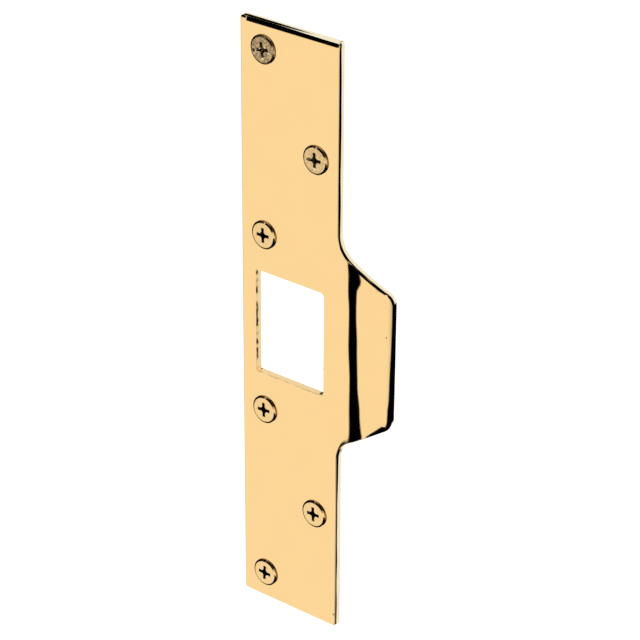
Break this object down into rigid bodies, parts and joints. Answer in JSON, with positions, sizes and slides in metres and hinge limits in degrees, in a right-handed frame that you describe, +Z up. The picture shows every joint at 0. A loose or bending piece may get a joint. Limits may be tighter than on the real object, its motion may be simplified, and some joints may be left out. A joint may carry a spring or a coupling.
{
  "type": "door strike plate",
  "caption": "Tall polished brass door strike plate with a rectangular latch hole, a curved tapering lip and flat-head cross-recess wood screws.",
  "frame": {"origin": "centre of the latch hole, level with the back face of the plate", "axes": "+Z up along the plate's length as mounted, -Y out of the face that shows, +Y into the door frame, +X towards the lip"},
  "size_m": [0.0573, 0.0129, 0.2032],
  "materials": {
    "strike_plate": "polished",
    "screws": "polished"
  },
  "bodies": {
    "root": {"strike_plate": "strike_plate", "screws": "screws"}
  },
  "joints": []
}
